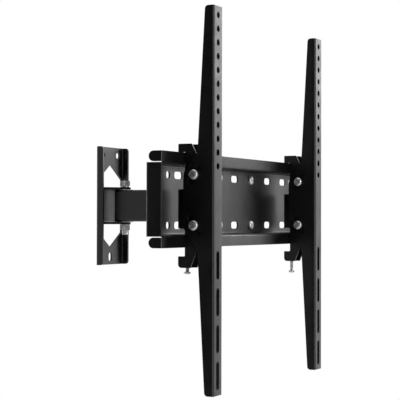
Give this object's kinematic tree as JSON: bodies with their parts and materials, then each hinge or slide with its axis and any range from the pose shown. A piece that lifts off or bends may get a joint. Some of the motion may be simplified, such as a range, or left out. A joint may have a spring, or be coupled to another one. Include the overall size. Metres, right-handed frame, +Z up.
{
  "type": "television wall mount",
  "caption": "Full motion television wall mount: flanged wall plate, one swinging arm, swivelling slotted crossbar and two hooked tilting vertical brackets with screw locks.",
  "frame": {"origin": "centre of the wall plate's back face, on the wall's surface", "axes": "+X along the wall, +Y into the wall, +Z up"},
  "size_m": [0.448, 0.2293, 0.424],
  "materials": {
    "coat": "semi-gloss black powder coat",
    "zinc": "bright zinc plate",
    "nylon": "natural nylon",
    "cap": "satin black moulding"
  },
  "bodies": {
    "root": {"wall_plate": "coat", "wall_pivot_bolt": "zinc", "wall_pivot_nut": "zinc", "wall_pivot_washer_bottom": "zinc", "wall_pivot_washer_top": "zinc"},
    "arm": {"swing_arm": "coat", "arm_end_cap": "cap", "head_bush_bottom": "nylon", "head_bush_top": "nylon", "wall_bush_bottom": "nylon", "wall_bush_top": "nylon", "head_pivot_bolt": "zinc", "head_pivot_nut": "zinc", "head_pivot_washer_bottom": "zinc", "head_pivot_washer_top": "zinc"},
    "head": {"head_bracket": "coat", "crossbar": "coat", "crossbar_bolt_left_lower": "zinc", "crossbar_bolt_left_upper": "zinc", "crossbar_bolt_right_lower": "zinc", "crossbar_bolt_right_upper": "zinc", "crossbar_nut_left_lower": "zinc", "crossbar_nut_left_upper": "zinc", "crossbar_nut_right_lower": "zinc", "crossbar_nut_right_upper": "zinc"},
    "left_carrier": {"left_adaptor": "coat", "left_tilt_bolt_lower": "zinc", "left_tilt_bolt_upper": "zinc", "left_tilt_nut_lower": "zinc", "left_tilt_nut_upper": "zinc", "left_tilt_spacer_lower": "zinc", "left_tilt_spacer_upper": "zinc", "left_tilt_washer_lower": "zinc", "left_tilt_washer_upper": "zinc"},
    "left_bracket": {"left_tv_bracket": "coat"},
    "left_lock": {"left_lock_screw": "zinc"},
    "right_carrier": {"right_adaptor": "coat", "right_tilt_bolt_lower": "zinc", "right_tilt_bolt_upper": "zinc", "right_tilt_nut_lower": "zinc", "right_tilt_nut_upper": "zinc", "right_tilt_spacer_lower": "zinc", "right_tilt_spacer_upper": "zinc", "right_tilt_washer_lower": "zinc", "right_tilt_washer_upper": "zinc"},
    "right_bracket": {"right_tv_bracket": "coat"},
    "right_lock": {"right_lock_screw": "zinc"}
  },
  "joints": [
    {"name": "arm_swivel", "type": "hinge", "parent": "root", "child": "arm", "pos_m": [0, -0.0235, 0], "axis": [0, 0, 1], "range_deg": [-60, 60]},
    {"name": "head_swivel", "type": "hinge", "parent": "arm", "child": "head", "pos_m": [0, -0.148, 0], "axis": [0, 0, -1], "range_deg": [-60, 60]},
    {"name": "left_slide", "type": "slide", "parent": "head", "child": "left_carrier", "axis": [1, 0, 0], "range_m": [-0.038, 0.112]},
    {"name": "left_tilt", "type": "hinge", "parent": "left_carrier", "child": "left_bracket", "pos_m": [-0.1614, -0.2508, 0.004], "axis": [1, 0, 0], "range_deg": [-10, 10]},
    {"name": "left_lock_travel", "type": "slide", "parent": "left_carrier", "child": "left_lock", "axis": [0, 0, 1], "range_m": [-0.01, 0]},
    {"name": "right_slide", "type": "slide", "parent": "head", "child": "right_carrier", "axis": [1, 0, 0], "range_m": [-0.0895, 0.0605]},
    {"name": "right_tilt", "type": "hinge", "parent": "right_carrier", "child": "right_bracket", "pos_m": [0.1401, -0.2508, 0.004], "axis": [1, 0, 0], "range_deg": [-10, 10]},
    {"name": "right_lock_travel", "type": "slide", "parent": "right_carrier", "child": "right_lock", "axis": [0, 0, 1], "range_m": [-0.002, 0.008]}
  ],
  "couplings": [
    {"joint": "right_tilt", "follows": "left_tilt", "ratio": 1}
  ]
}
